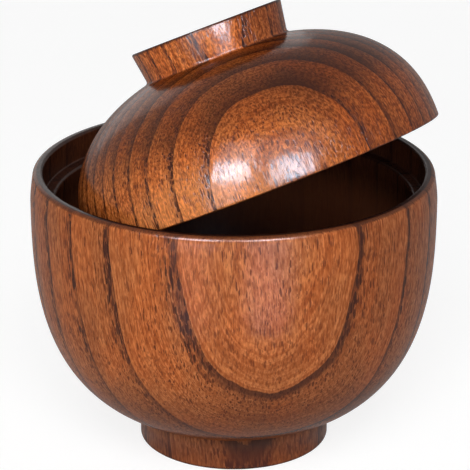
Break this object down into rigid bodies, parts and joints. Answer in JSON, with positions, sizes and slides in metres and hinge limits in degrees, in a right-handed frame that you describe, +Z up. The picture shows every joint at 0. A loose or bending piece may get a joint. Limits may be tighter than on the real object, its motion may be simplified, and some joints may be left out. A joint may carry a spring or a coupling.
{
  "type": "lidded soup bowl",
  "caption": "Turned wooden soup bowl on a foot ring, with a domed lid whose grip ring is its handle; the lid leans askew in the bowl's mouth and lifts off.",
  "frame": {"origin": "centre of the foot ring's underside, on the bowl's axis", "axes": "+Z up along the bowl's axis, -Y towards the viewer of the picture, +X to that viewer's right"},
  "size_m": [0.12, 0.12, 0.1358],
  "materials": {
    "bowl_wood": "satin-gloss clear lacquer over red-brown wood with bold grain",
    "lid_wood": "gloss clear lacquer over red-brown wood with bold grain"
  },
  "bodies": {
    "bowl": {"bowl": "bowl_wood"},
    "lid": {"lid": "lid_wood"}
  },
  "joints": [
    {"name": "lid_lift", "type": "slide", "parent": "bowl", "child": "lid", "axis": [0, 0, 1], "range_m": [0, 0.06]}
  ]
}
